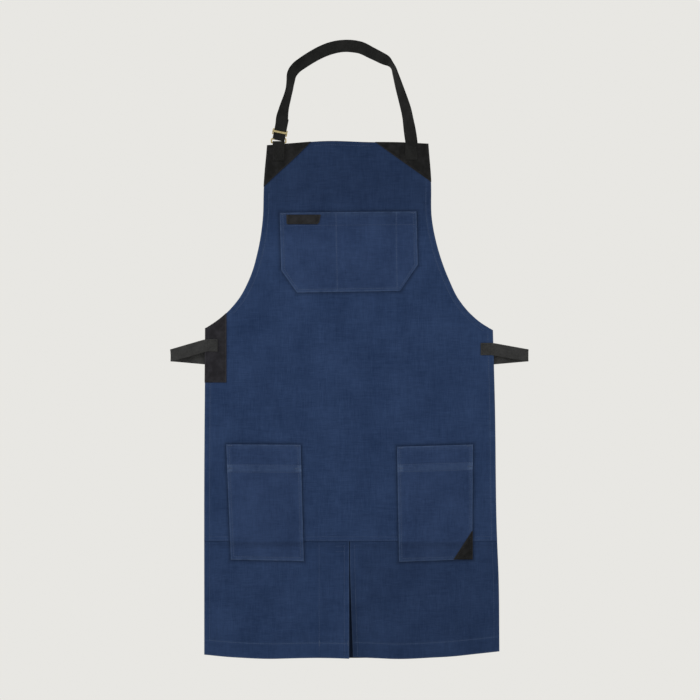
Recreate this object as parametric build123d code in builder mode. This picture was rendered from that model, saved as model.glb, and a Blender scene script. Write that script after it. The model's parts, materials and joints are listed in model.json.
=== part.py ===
from build123d import *
import math
import os

# Welding apron, hanging from its neck strap. Millimetres, +Z up, front towards -Y.
# The origin is where the neck strap rests: the inner top of its loop.
# Left and right are as seen from the front, so left is -X.

# Driving dimensions
bib_top = -184.0  # the bib's top edge, at its middle
bib_corner_drop = 8.0  # how far the top edge falls towards its corners
bib_half_width = 165.0
armhole_top = -345.0
armhole_top_half_width = 174.0
waist_corner = -570.0
waist_half_width = 296.0
hem_half_width = 304.0
hem_corner = -1240.0
hem_middle = -1249.0
cross_seam = -1007.0  # where the leg panels are sewn to the front panel
leg_bend = -1052.0  # the line that the leg panels swing about, below the pockets

canvas = 1.2
leather = 1.2
facing_cloth = 0.8
webbing = 1.6
webbing_width = 25.4

clearance = 0.3
bend_gap = 0.5  # half the gap between cloth pieces that hinge on each other
slit_gap_top = 1.0
slit_gap_hem = 9.0

pocket_depth = 7.0  # how far a pocket's front stands off the panel
pocket_wall = 1.2
seam_margin = 3.0  # width of a pocket's sewn edge

# Layers, as places along Y
panel_front = -canvas / 2
panel_back = canvas / 2
patch_front = panel_front - leather
facing_back = panel_back + facing_cloth
foot_front = patch_front - webbing

# The neck strap turns about this line, which passes through the ring's lower bar
neck_axis_y = (foot_front + facing_back + webbing) / 2
neck_axis_z = -186.0
strap_foot_gap = 2.2  # free height each side of that line, where the webbing bends

ring_wire = 3.0
ring_inner_width = 26.6
ring_pitch = 8.0  # between the ring's two long bars
ring_x = -146.0
ring_top_bar = neck_axis_z + ring_pitch

strap_lean = 11.3  # degrees that the strap's left run leans to the right
slider_place = 13.6  # the slider's middle above the ring's upper bar, at rest
slider_travel = 20.0
tail_spare = 26.4  # webbing past the slider at the top of its travel

waist_fold_x = 366.0
waist_fold_z = -624.0
waist_slope = 5.0  # degrees that the strap behind the apron falls towards the middle
waist_back_y = 5.0  # front face of the strap behind the apron
buckle_y = waist_back_y + webbing
female_bar = 328.0  # distance from the fold to each half's webbing bar
male_bar = 306.0
waist_slider_place = 190.0
waist_slider_travel = 60.0
waist_tail_spare = 12.0  # webbing past the waist slider at the end of its travel

os.makedirs("parts", exist_ok=True)


def save(name, label):
    """Label a finished piece and write it as its own STEP file."""
    name.part.label = label
    export_step(name.part, f"parts/{label}.step")


def front_plane(y):
    """A plane facing the front at depth y, on which X is across and Y is up."""
    return Plane.XZ.offset(-y)


def bib_top_at(x):
    """Height of the bib's top edge at a distance across from the middle."""
    return bib_top - bib_corner_drop * (x / bib_half_width) ** 2


def side_at(z):
    """Half width of the skirt at a height."""
    part_way = (waist_corner - z) / (waist_corner - hem_corner)
    return waist_half_width + (hem_half_width - waist_half_width) * part_way


def armhole(side):
    """The armhole's edge, from the bib down to the waist corner."""
    points = [(armhole_top_half_width, armhole_top), (189.0, -407.0), (208.0, -468.0), (252.0, -537.0)]
    points.append((waist_half_width, waist_corner))
    return Spline([(side * x, z) for x, z in points])


def panel_outline():
    """The front panel's outline, from the bib's top edge to the cross seam."""
    corner = (bib_half_width, bib_top - bib_corner_drop)
    with BuildSketch() as outline:
        with BuildLine():
            ThreePointArc((-corner[0], corner[1]), (0, bib_top), corner)
            Line(corner, (armhole_top_half_width, armhole_top))
            armhole(1)
            Polyline(
                (waist_half_width, waist_corner),
                (side_at(cross_seam), cross_seam),
                (-side_at(cross_seam), cross_seam),
                (-waist_half_width, waist_corner),
            )
            armhole(-1)
            Line((-armhole_top_half_width, armhole_top), (-corner[0], corner[1]))
        make_face()
    return outline.sketch


outline = panel_outline()

# Front panel
with BuildPart() as front_panel:
    with BuildSketch(front_plane(panel_back)):
        add(outline)
    extrude(amount=canvas)
save(front_panel, "front_panel")


# Leg panels, each in two stretches: one fixed behind its pocket, one that swings
def slit_edge(side, z):
    """Where the slit's edge is at a height: the left flap is straight, the right falls open."""
    if side < 0:
        return -slit_gap_top / 2
    part_way = (cross_seam - z) / (cross_seam - hem_middle)
    return slit_gap_top / 2 + (slit_gap_hem - slit_gap_top) * part_way


def leg_top_outline(side):
    """The fixed stretch, from the cross seam to the bend."""
    low = leg_bend + bend_gap
    with BuildSketch() as shape:
        with BuildLine():
            Polyline(
                (slit_edge(side, cross_seam), cross_seam),
                (side * side_at(cross_seam), cross_seam),
                (side * side_at(low), low),
                (slit_edge(side, low), low),
                close=True,
            )
        make_face()
    return shape.sketch


def leg_outline(side):
    """The swinging stretch, from the bend to the hem."""
    high = leg_bend - bend_gap
    middle_x = side * hem_half_width / 2
    middle_z = (hem_corner + 3 * hem_middle) / 4
    with BuildSketch() as shape:
        with BuildLine():
            Polyline(
                (slit_edge(side, hem_middle), hem_middle),
                (slit_edge(side, high), high),
                (side * side_at(high), high),
                (side * hem_half_width, hem_corner),
            )
            ThreePointArc(
                (side * hem_half_width, hem_corner),
                (middle_x, middle_z),
                (slit_edge(side, hem_middle), hem_middle),
            )
        make_face()
    return shape.sketch


for side_name, side in (("left", -1), ("right", 1)):
    with BuildPart() as leg_panel_top:
        with BuildSketch(front_plane(panel_back)):
            add(leg_top_outline(side))
        extrude(amount=canvas)
    save(leg_panel_top, f"{side_name}_leg_panel_top")

    with BuildPart() as leg_panel:
        with BuildSketch(front_plane(panel_back)):
            add(leg_outline(side))
        extrude(amount=canvas)
    save(leg_panel, f"{side_name}_leg_panel")

# Facing strips behind the slit's two edges, on the swinging stretches
slit_facing_width = 62.0
slit_facing_high = leg_bend - 4.0
slit_facing_low = hem_middle + 4.0
for side_name, side in (("left", -1), ("right", 1)):
    with BuildPart() as slit_facing:
        with BuildSketch(front_plane(facing_back)):
            with BuildLine():
                Polyline(
                    (slit_edge(side, slit_facing_high) + side, slit_facing_high),
                    (slit_edge(side, slit_facing_low) + side, slit_facing_low),
                    (slit_edge(side, slit_facing_low) + side * slit_facing_width, slit_facing_low),
                    (slit_edge(side, slit_facing_high) + side * slit_facing_width, slit_facing_high),
                    close=True,
                )
            make_face()
        extrude(amount=facing_cloth)
    save(slit_facing, f"{side_name}_slit_facing")

# Spark guard: a strip sewn at its top behind the slit, hanging free of both legs
guard_width = 84.0
guard_middle = 2.0
guard_high = cross_seam + 12.0
guard_low = hem_middle + 5.0
guard_seam = 10.0  # height of the guard's sewn top edge
guard_front = facing_back + clearance + 0.3
with BuildPart() as slit_guard:
    with BuildSketch(front_plane(guard_front + canvas)):
        with Locations((guard_middle, (guard_high + guard_low) / 2)):
            Rectangle(guard_width, guard_high - guard_low)
    extrude(amount=canvas)
    with BuildSketch(front_plane(guard_front)):
        with Locations((guard_middle, guard_high - guard_seam / 2)):
            Rectangle(guard_width, guard_seam)
    extrude(amount=guard_front - panel_back)
save(slit_guard, "slit_guard")

# Facings behind the bib's top edge and both armholes
top_facing_height = 38.0
with BuildPart() as bib_top_facing:
    with BuildSketch(front_plane(facing_back)):
        with BuildLine():
            ThreePointArc(
                (-bib_half_width, bib_top - bib_corner_drop),
                (0, bib_top),
                (bib_half_width, bib_top - bib_corner_drop),
            )
            Polyline(
                (bib_half_width, bib_top - bib_corner_drop),
                (bib_half_width, bib_top - bib_corner_drop - top_facing_height),
                (-bib_half_width, bib_top - bib_corner_drop - top_facing_height),
                (-bib_half_width, bib_top - bib_corner_drop),
            )
        make_face()
    extrude(amount=facing_cloth)
save(bib_top_facing, "bib_top_facing")

armhole_facing_width = 20.0
for side_name, side in (("left", -1), ("right", 1)):
    edge = armhole(side)
    inner_points = []
    for part_way in (0.0, 0.25, 0.5, 0.75, 1.0):
        along = edge % part_way
        inward = Vector(along.Y, -along.X) * side
        inner_points.append(edge @ part_way + inward * armhole_facing_width)
    with BuildPart() as armhole_facing:
        with BuildSketch(front_plane(facing_back)):
            with BuildLine():
                armhole(side)
                Spline(inner_points)
                Line(inner_points[0], edge @ 0)
                Line(inner_points[-1], edge @ 1)
            make_face()
            add(outline, mode=Mode.INTERSECT)
        extrude(amount=facing_cloth)
    save(armhole_facing, f"armhole_facing_{side_name}")


# Pockets: trays of cloth, open at the top and closed behind by the panel
def tray(outline_points, top, walls_x):
    """A pocket's solid from its outline, its top edge and the places of its upright seams."""
    low = min(z for x, z in outline_points)
    with BuildPart() as pocket:
        with BuildSketch(front_plane(panel_front)) as shape:
            with BuildLine():
                Polyline(*outline_points, close=True)
            make_face()
        extrude(amount=pocket_depth)
        with BuildSketch(front_plane(panel_front)):
            offset(shape.sketch, amount=-seam_margin)
            for left, right in zip(walls_x[:-1], walls_x[1:]):
                with Locations(((left + right) / 2, top - seam_margin)):
                    Rectangle(right - left - 2 * seam_margin, 3 * seam_margin)
            for wall_x in walls_x[1:-1]:
                with Locations((wall_x, (top + low) / 2)):
                    Rectangle(2.4, top - low + 4 * seam_margin, mode=Mode.SUBTRACT)
        extrude(amount=pocket_depth - pocket_wall, mode=Mode.SUBTRACT)
    return pocket


bib_pocket_left = -144.0
bib_pocket_right = 138.0
bib_pocket_top = -329.0
bib_pocket_low = -497.5
pocket_cut_across = 36.0
pocket_cut_up = 50.0
bib_pocket_seam = -26.0
pen_slot_seam = 98.0
bib_pocket_outline = [
    (bib_pocket_left, bib_pocket_top),
    (bib_pocket_right, bib_pocket_top),
    (bib_pocket_right, bib_pocket_low + pocket_cut_up),
    (bib_pocket_right - pocket_cut_across, bib_pocket_low),
    (bib_pocket_left + pocket_cut_across, bib_pocket_low),
    (bib_pocket_left, bib_pocket_low + pocket_cut_up),
]
bib_pocket = tray(
    bib_pocket_outline,
    bib_pocket_top,
    [bib_pocket_left, bib_pocket_seam, pen_slot_seam, bib_pocket_right],
)
save(bib_pocket, "bib_pocket")

skirt_pocket_width = 153.0
skirt_pocket_top = -808.5
skirt_pocket_low = -1047.0
skirt_pocket_middle = {"left": -173.5, "right": 177.0}
for side_name, middle in skirt_pocket_middle.items():
    left = middle - skirt_pocket_width / 2
    right = middle + skirt_pocket_width / 2
    corners = [
        (left, skirt_pocket_top),
        (right, skirt_pocket_top),
        (right, skirt_pocket_low),
        (left, skirt_pocket_low),
    ]
    skirt_pocket = tray(corners, skirt_pocket_top, [left, right])
    save(skirt_pocket, f"{side_name}_pocket")

# Black leather: bib corners, waist, pocket corner and label
corner_patch_sizes = {"left": (-1, 90.0, 86.0), "right": (1, 110.0, 80.0)}
for side_name, (side, across, down) in corner_patch_sizes.items():
    corner = (side * bib_half_width, bib_top - bib_corner_drop)
    inner = bib_half_width - across
    side_low = corner[1] - down
    side_slant = (armhole_top_half_width - bib_half_width) / (corner[1] - armhole_top)
    low_x = side * (bib_half_width + side_slant * down)
    arc_middle = bib_half_width - across / 2
    with BuildPart() as corner_patch:
        with BuildSketch(front_plane(panel_front)):
            with BuildLine():
                ThreePointArc(
                    corner,
                    (side * arc_middle, bib_top_at(arc_middle)),
                    (side * inner, bib_top_at(inner)),
                )
                Polyline((side * inner, bib_top_at(inner)), (low_x, side_low), corner)
            make_face()
        extrude(amount=leather)
    save(corner_patch, f"bib_corner_patch_{side_name}")

waist_patch_width = 45.0
waist_patch_low = -681.0
patch_blank = 180.0  # cut square, then trimmed to the panel's outline
with BuildPart() as waist_patch:
    with BuildSketch(front_plane(panel_front)):
        patch_edge = -waist_half_width + waist_patch_width
        with Locations((patch_edge, waist_patch_low)):
            Rectangle(patch_blank, patch_blank, align=(Align.MAX, Align.MIN))
        add(outline, mode=Mode.INTERSECT)
    extrude(amount=leather)
save(waist_patch, "waist_patch_left")

pocket_front = panel_front - pocket_depth
triangle_across = 39.0
triangle_up = 58.0
triangle_corner = (skirt_pocket_middle["right"] + skirt_pocket_width / 2, skirt_pocket_low)
with BuildPart() as pocket_corner_patch:
    with BuildSketch(front_plane(pocket_front)):
        with BuildLine():
            Polyline(
                triangle_corner,
                (triangle_corner[0], triangle_corner[1] + triangle_up),
                (triangle_corner[0] - triangle_across, triangle_corner[1]),
                close=True,
            )
        make_face()
    extrude(amount=leather)
save(pocket_corner_patch, "pocket_corner_patch")

label_left = -131.0
label_right = -61.0
label_top = -337.0
label_height = 17.0
with BuildPart() as label_patch:
    with BuildSketch(front_plane(pocket_front)):
        with BuildLine():
            Polyline(
                (label_left, label_top),
                (label_right, label_top),
                (label_right - 4.0, label_top - label_height),
                (label_left, label_top - label_height),
                close=True,
            )
        make_face()
    extrude(amount=leather)
save(label_patch, "label_patch")


# Webbing that turns round a bar: a drop in side view, two layers where it leaves
def drop(bar_radius, leg_gap, leg_start, leg_end):
    """Webbing round a bar at the sketch's origin, with both legs going down its local Y."""
    inner = bar_radius + 0.25
    outer = inner + webbing
    with BuildSketch() as inside:
        Circle(inner)
        with Locations((0, -(leg_start + leg_end) / 2)):
            Rectangle(max(leg_gap, 0.02), leg_end - leg_start)
        make_hull(mode=Mode.REPLACE)
    with BuildSketch() as around:
        Circle(outer)
        with Locations((0, -(leg_start + leg_end) / 2)):
            Rectangle(leg_gap + 2 * webbing, leg_end - leg_start)
        make_hull(mode=Mode.REPLACE)
        add(inside.sketch, mode=Mode.SUBTRACT)
        if leg_gap == 0:
            with Locations((0, -(leg_start + leg_end) / 2)):
                Rectangle(2 * webbing, leg_end - leg_start)
    return around.sketch


# Anchor tab: webbing round the ring's lower bar, sewn on both sides of the bib's corner
tab_width = 24.8
tab_low = -224.0
tab_eye_depth = 2.6
tab_side = (ring_x - tab_width / 2, neck_axis_y, neck_axis_z)
side_plane = Plane(origin=tab_side, x_dir=(0, 1, 0), z_dir=(1, 0, 0))
with BuildPart() as neck_anchor_tab:
    with BuildSketch(side_plane):
        add(drop(ring_wire / 2, facing_back - patch_front, tab_eye_depth, neck_axis_z - tab_low))
    extrude(amount=tab_width)
save(neck_anchor_tab, "neck_anchor_tab")

# Ring: a rectangle of round wire, standing up from the tab
ring_middle = (ring_x, neck_axis_y, neck_axis_z + ring_pitch / 2)
ring_face = Plane(origin=ring_middle, x_dir=(1, 0, 0), z_dir=(0, -1, 0))
with BuildPart() as neck_ring:
    with BuildSketch(ring_face.offset(-ring_wire / 2)):
        RectangleRounded(ring_inner_width + 2 * ring_wire, ring_pitch + ring_wire, 3.0)
        RectangleRounded(ring_inner_width, ring_pitch - ring_wire, 0.6, mode=Mode.SUBTRACT)
    extrude(amount=ring_wire)
    fillet(neck_ring.edges().filter_by(ring_face), radius=ring_wire / 2 - 0.1)
save(neck_ring, "neck_ring")

# Neck strap: left run, arch over the neck, right run. Its left end turns round the ring's
# upper bar and comes back up behind the left run, as a tail through the slider.
strap_back = neck_axis_y
lean = math.radians(strap_lean)
run_start = Vector(ring_x, 0, ring_top_bar)
run_direction = Vector(math.sin(lean), 0, math.cos(lean))
right_bend = (88.0, -22.0)
right_end = (127.5, neck_axis_z + strap_foot_gap)
right_lean = math.atan2(right_end[0] - right_bend[0], right_bend[1] - right_end[1])
strap_flat_from = 4.8  # from the ring's upper bar up to where the front layer is flat
tail_from = 9.0  # and to where the tail behind it is flat
left_run_length = 148.0
tail_length = slider_place + slider_travel + tail_spare
past_end = 8.0  # the right run is drawn this far past its end, and then cut level
eye_width = 25.2
eye_depth = 5.4
eye_height = 6.4


def on_left_run(distance):
    """A point on the strap's left run, above the ring's upper bar."""
    return ring_x + distance * math.sin(lean), ring_top_bar + distance * math.cos(lean)


with BuildPart() as neck_strap:
    with BuildSketch(front_plane(strap_back)):
        with BuildLine() as centre:
            FilletPolyline(
                on_left_run(strap_flat_from),
                on_left_run(left_run_length),
                (-45.0, 13.0),
                (25.0, 15.0),
                right_bend,
                (
                    right_end[0] + past_end * math.sin(right_lean),
                    right_end[1] - past_end * math.cos(right_lean),
                ),
                radius=[22.0, 90.0, 90.0, 18.0],
            )
        trace(centre.line, webbing_width)
        with Locations((right_end[0], right_end[1] - 20.0)):
            Rectangle(80.0, 40.0, mode=Mode.SUBTRACT)
    extrude(amount=webbing)
    with BuildSketch(front_plane(strap_back + webbing)):
        with BuildLine() as tail:
            Line(on_left_run(tail_from), on_left_run(tail_length))
        trace(tail.line, webbing_width)
    extrude(amount=webbing)
    eye_side = (ring_x - eye_width / 2, neck_axis_y, ring_top_bar)
    with BuildSketch(Plane(origin=eye_side, x_dir=(0, -1, 0), z_dir=(1, 0, 0))):
        add(drop(ring_wire / 2, 0, eye_depth, eye_height))
    extrude(amount=eye_width)
save(neck_strap, "neck_strap")

# The neck strap's right end, sewn flat on the corner patch
foot_low = -221.5
foot_high = neck_axis_z - strap_foot_gap
with BuildPart() as neck_strap_foot:
    with BuildSketch(front_plane(patch_front)):
        with Locations((right_end[0], (foot_high + foot_low) / 2)):
            Rectangle(webbing_width, foot_high - foot_low)
    extrude(amount=webbing)
save(neck_strap_foot, "neck_strap_foot")


# Sliders: two side rails, one bar over the strap's face and two bars behind it
def slider(plane, layers, bar_pitch, rail_thickness, front_bar, rear_bar):
    """A slider at a plane whose X is across the strap, Y along it and Z out of its face."""
    half_slot = webbing_width / 2 + 0.5
    front_place = (0, clearance + front_bar / 2)
    rear_z = -layers - clearance - rear_bar / 2
    rear_places = ((-bar_pitch, rear_z), (bar_pitch, rear_z))
    outside = half_slot + rail_thickness
    rail_plane = Plane(
        origin=plane.origin - plane.x_dir * outside, x_dir=plane.y_dir, z_dir=plane.x_dir
    )
    with BuildPart() as body:
        for place in (0, half_slot + outside):
            with BuildSketch(rail_plane.offset(place)):
                with Locations(front_place):
                    SlotOverall(front_bar * 1.6, front_bar)
                with Locations(*rear_places):
                    Circle(rear_bar / 2)
                make_hull(mode=Mode.REPLACE)
            extrude(amount=rail_thickness)
        with BuildSketch(rail_plane):
            with Locations(front_place):
                SlotOverall(front_bar * 1.6, front_bar)
            with Locations(*rear_places):
                Circle(rear_bar / 2)
        extrude(amount=2 * outside)
    return body


slider_middle = Vector(ring_x, strap_back - webbing, ring_top_bar) + run_direction * slider_place
across_run = Vector(math.cos(lean), 0, -math.sin(lean))
neck_slider = slider(
    Plane(origin=slider_middle, x_dir=across_run, z_dir=(0, -1, 0)),
    layers=2 * webbing,
    bar_pitch=5.0,
    rail_thickness=2.2,
    front_bar=3.0,
    rear_bar=2.4,
)
save(neck_slider, "neck_slider")

# Waist straps: sewn to the front at each side, out past the edge to a fold, and back behind
waist_tab_x = {"left": 271.5, "right": 270.0}
waist_tab_z = {"left": -603.5, "right": -611.0}
waist_tab_length = 24.0  # the part of each strap that is sewn down
waist_front_y = {"left": patch_front, "right": panel_front}
fold_start = 0.4  # where each layer begins, beside the fold's line
slope = math.radians(waist_slope)


def fold_line_y(side_name):
    """Depth of the upright line that a waist strap folds about."""
    return (waist_front_y[side_name] - webbing + waist_back_y + webbing) / 2


def run_plane(side, y):
    """The back strap's plane: X along it from the fold, Y up it and Z towards the back."""
    if side < 0:
        along = (math.cos(slope), 0, -math.sin(slope))
        return Plane(origin=(-waist_fold_x, y, waist_fold_z), x_dir=along, z_dir=(0, -1, 0))
    along = (-math.cos(slope), 0, -math.sin(slope))
    return Plane(origin=(waist_fold_x, y, waist_fold_z), x_dir=along, z_dir=(0, 1, 0))


for side_name, side in (("left", -1), ("right", 1)):
    tab_x = side * waist_tab_x[side_name]
    tab_z = waist_tab_z[side_name]
    fold_x = side * (waist_fold_x - fold_start)
    with BuildPart() as waist_tab:
        with BuildSketch(front_plane(waist_front_y[side_name])):
            with BuildLine():
                Polyline(
                    (tab_x, tab_z - webbing_width / 2),
                    (tab_x + side * waist_tab_length, tab_z - webbing_width / 2),
                    (fold_x, waist_fold_z - webbing_width / 2),
                    (fold_x, waist_fold_z + webbing_width / 2),
                    (tab_x + side * waist_tab_length, tab_z + webbing_width / 2),
                    (tab_x, tab_z + webbing_width / 2),
                    close=True,
                )
            make_face()
        extrude(amount=webbing)
    save(waist_tab, f"waist_strap_{side_name}_end")


def back_strap(bar, tail_from):
    """A waist strap behind the apron, on the left: a long layer, an eye round a bar, a tail."""
    layers_end = bar - 6.0
    run = run_plane(-1, buckle_y)
    eye_origin = run.origin + run.x_dir * bar - run.y_dir * webbing_width / 2
    with BuildPart() as strap:
        with BuildSketch(run_plane(-1, buckle_y)):
            with Locations(((fold_start + layers_end) / 2, 0)):
                Rectangle(layers_end - fold_start, webbing_width)
        extrude(amount=webbing)
        with BuildSketch(run_plane(-1, buckle_y + webbing)):
            with Locations(((tail_from + layers_end) / 2, 0)):
                Rectangle(layers_end - tail_from, webbing_width)
        extrude(amount=webbing)
        with BuildSketch(Plane(origin=eye_origin, x_dir=(0, -1, 0), z_dir=run.y_dir)):
            add(drop(buckle_bar / 2, 0, 5.4, 8.0))
        extrude(amount=webbing_width)
    return strap


# Side-release buckle, drawn unfastened: the female half on the left, the male on the right
buckle_bar = 3.2
buckle_depth = 7.5
buckle_width = 34.0
bar_slot = 4.2  # from the bar's middle to the slot's far edge
rail_width = (buckle_width - webbing_width - 1.0) / 2
female_length = 34.0
cavity_depth = 3.9
cavity_width = 27.0
male_base = 24.0  # from the bar's middle to where the arms start
tongue_length = 20.0
tongue_width = 8.0
arm_gap = 0.4
arm_offset = 11.0  # each arm's hinge line, from the buckle's middle
arm_thickness = 3.3
edge_round = 1.0

waist_strap_left = back_strap(female_bar, female_bar - 34.0)
save(waist_strap_left, "waist_strap_left")

waist_tail_from = waist_slider_place - waist_slider_travel - waist_tail_spare
with BuildPart() as waist_strap_right:
    add(back_strap(male_bar, waist_tail_from).part)
    mirror(about=Plane.YZ, mode=Mode.REPLACE)
save(waist_strap_right, "waist_strap_right")


def buckle_frame(bar, block_end):
    """A buckle half's outer body: a round webbing bar, two rails and a block."""
    back = run_plane(-1, buckle_y + buckle_depth / 2)
    run = run_plane(-1, buckle_y)
    block_start = bar + bar_slot
    with BuildPart() as body:
        with BuildSketch(back):
            with Locations(((block_start + block_end) / 2, 0)):
                Rectangle(block_end - block_start, buckle_width)
            rail_place = (buckle_width - rail_width) / 2
            with Locations((bar + 3.0, -rail_place), (bar + 3.0, rail_place)):
                Rectangle(6.0 + buckle_bar, rail_width)
        extrude(amount=buckle_depth)
        fillet(body.edges().filter_by(back), radius=edge_round)
        bar_end = run.origin + run.x_dir * bar - run.y_dir * (buckle_width / 2 - 1.5)
        with BuildSketch(Plane(origin=bar_end, x_dir=(0, 1, 0), z_dir=run.y_dir)):
            Circle(buckle_bar / 2)
        extrude(amount=buckle_width - 3.0)
    return body


female_end = female_bar + female_length
with BuildPart() as buckle_female:
    add(buckle_frame(female_bar, female_end).part)
    with BuildSketch(run_plane(-1, buckle_y + cavity_depth / 2)):
        with Locations((female_end - 11.0, 0)):
            Rectangle(24.0, cavity_width)
        with Locations((female_end - 14.0, 0)):
            Rectangle(13.0, buckle_width + 2.0)
    extrude(amount=cavity_depth, mode=Mode.SUBTRACT)
save(buckle_female, "buckle_female")

male_base_end = male_bar + male_base
with BuildPart() as buckle_male:
    add(buckle_frame(male_bar, male_base_end).part)
    with BuildSketch(run_plane(-1, buckle_y + arm_thickness / 2)):
        with Locations((male_base_end + tongue_length / 2 - 1.0, 0)):
            RectangleRounded(tongue_length + 2.0, tongue_width, 1.5)
    extrude(amount=arm_thickness)
    mirror(about=Plane.YZ, mode=Mode.REPLACE)
save(buckle_male, "buckle_male")

# The male half's two spring arms, each hinged at its root and squeezed towards the tongue
for arm_name, up in (("upper", 1), ("lower", -1)):
    root = male_base_end + arm_gap
    with BuildPart() as buckle_arm:
        with BuildSketch(run_plane(-1, buckle_y + arm_thickness / 2)):
            with BuildLine():
                Polyline(
                    (root, up * (arm_offset - 1.4)),
                    (root, up * (arm_offset + 1.4)),
                    (root + 9.0, up * (arm_offset + 1.4)),
                    (root + 11.0, up * (arm_offset + 4.6)),
                    (root + 16.0, up * (arm_offset + 4.6)),
                    (root + 21.6, up * (arm_offset + 0.4)),
                    (root + 21.6, up * (arm_offset - 1.8)),
                    close=True,
                )
            make_face()
        extrude(amount=arm_thickness)
        mirror(about=Plane.YZ, mode=Mode.REPLACE)
    save(buckle_arm, f"buckle_arm_{arm_name}")

# Waist slider, on the right strap and its tail
slider_run = run_plane(-1, buckle_y + webbing)
slider_face = Plane(
    origin=slider_run.origin + slider_run.x_dir * waist_slider_place,
    x_dir=slider_run.y_dir,
    z_dir=(0, 1, 0),
)
with BuildPart() as waist_slider:
    add(
        slider(
            slider_face,
            layers=2 * webbing,
            bar_pitch=6.0,
            rail_thickness=2.8,
            front_bar=3.2,
            rear_bar=2.4,
        ).part
    )
    mirror(about=Plane.YZ, mode=Mode.REPLACE)
save(waist_slider, "waist_slider")
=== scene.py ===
import json
import math

import bpy
import numpy as np
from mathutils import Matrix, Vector


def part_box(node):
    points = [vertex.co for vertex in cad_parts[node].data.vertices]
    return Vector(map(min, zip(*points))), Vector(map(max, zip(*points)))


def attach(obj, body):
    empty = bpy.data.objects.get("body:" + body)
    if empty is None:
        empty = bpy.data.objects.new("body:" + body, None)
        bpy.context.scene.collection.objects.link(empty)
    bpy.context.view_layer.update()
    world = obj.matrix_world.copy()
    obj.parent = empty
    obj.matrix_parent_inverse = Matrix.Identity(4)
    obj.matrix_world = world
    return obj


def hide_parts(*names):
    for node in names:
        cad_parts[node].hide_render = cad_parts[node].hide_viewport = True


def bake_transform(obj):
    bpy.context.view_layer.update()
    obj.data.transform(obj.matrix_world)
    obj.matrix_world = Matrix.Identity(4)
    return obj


# The welding apron's looks, on the frame's CAD bodies. Lengths are millimetres until a
# mesh is made. X is across, Y is depth with the front towards -Y, and Z is up.
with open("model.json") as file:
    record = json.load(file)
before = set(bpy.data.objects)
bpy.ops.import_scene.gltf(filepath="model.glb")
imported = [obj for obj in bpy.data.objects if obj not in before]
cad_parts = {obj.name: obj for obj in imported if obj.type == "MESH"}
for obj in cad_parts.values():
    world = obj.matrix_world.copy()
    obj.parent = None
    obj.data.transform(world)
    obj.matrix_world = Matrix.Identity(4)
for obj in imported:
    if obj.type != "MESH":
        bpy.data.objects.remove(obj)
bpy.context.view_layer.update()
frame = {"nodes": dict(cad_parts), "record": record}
MM = 0.001


def box_mm(node):
    """A CAD node's lowest and highest corners at rest, in millimetres."""
    low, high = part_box(node)
    return Vector(low) / MM, Vector(high) / MM


pivots = {joint["name"]: Vector(joint["pos_m"]) / MM
          for joint in frame["record"]["behaviour"]["joints"] if "pos_m" in joint}
panel_low, panel_high = box_mm("front_panel")
leg_low = box_mm("left_leg_panel")[0]

CANVAS = 1.2
LEATHER = 1.2
FACING = 0.8
WEBBING = 1.6
WEBBING_WIDTH = 25.4
FRONT = -CANVAS / 2
LAYER_GAP = 0.03  # between two layers sewn flat together
PATCH_LIFT = 0.3  # how far the hems under a patch lift it off the cloth

bib_top = panel_high.z
cross_seam = panel_low.z
hem = leg_low.z
WAIST_HEIGHT = -618.0


# Small mathematics
def ease(low, high, value):
    """0 below low, 1 above high and a smooth step between them."""
    part = np.clip((value - low) / (high - low), 0, 1)
    return part * part * (3 - 2 * part)


def bell(value, width):
    """1 at value 0, falling away on both sides within about the width."""
    return np.exp(-((value / width) ** 2))


def through(*points):
    """A smooth function through (place, value) points in rising order of place."""
    place, value = np.array(points, float).T
    slope = np.gradient(value, place)

    def at(where):
        where = np.clip(where, place[0], place[-1])
        i = np.clip(np.searchsorted(place, where, side="right") - 1, 0, len(place) - 2)
        gap = place[i + 1] - place[i]
        f = (where - place[i]) / gap
        start = (1 + 2 * f) * (1 - f) ** 2 * value[i] + f * (1 - f) ** 2 * gap * slope[i]
        return start + f * f * (3 - 2 * f) * value[i + 1] + f * f * (f - 1) * gap * slope[i + 1]

    return at


def ramp(*points):
    """A function of straight runs through (place, value) points in rising order of place."""
    place, value = np.array(points, float).T
    return lambda where: np.interp(where, place, value)


# The apron's outline as it hangs, a little uneven between its two sides
LEFT_CORNER = -568.0
RIGHT_CORNER = -572.0
left_armhole = through((LEFT_CORNER, -296), (-555, -276), (-537, -254), (-510, -230), (-468, -207),
                       (-407, -188.5), (-345, -179), (-277, -176.5), (-191, -170), (-184, -169.5))
right_armhole = through((RIGHT_CORNER, 295), (-557, 271), (-537, 248), (-510, 226), (-468, 205),
                        (-407, 183), (-345, 170), (-267, 168), (-191, 162.5), (-184, 162))
left_side = through((hem, -300), (-900, -299.5), (LEFT_CORNER, -297))
right_side = through((hem, 309.5), (-1087, 308), (-988, 304), (-714, 299.5), (RIGHT_CORNER, 295.5))


def left_edge(z):
    """The apron's left edge at a height."""
    return np.where(z > LEFT_CORNER, left_armhole(z), left_side(z))


def right_edge(z):
    """The apron's right edge at a height."""
    return np.where(z > RIGHT_CORNER, right_armhole(z), right_side(z))


# How far the bib's top edge and the hem lie from bib_top and hem, across the apron
top_edge = through((-170, -7.5), (-120, -3.5), (-50, 1.6), (40, -0.6), (110, -1.6), (160, -4.2))
left_hem = through((-300, 7), (-240, 2.5), (-168, -0.4), (-60, 1.6), (0, 0.4))
right_hem = through((0, 3.5), (40, 1.5), (92, -0.9), (176, 2.4), (240, 7), (310, 14))


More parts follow.
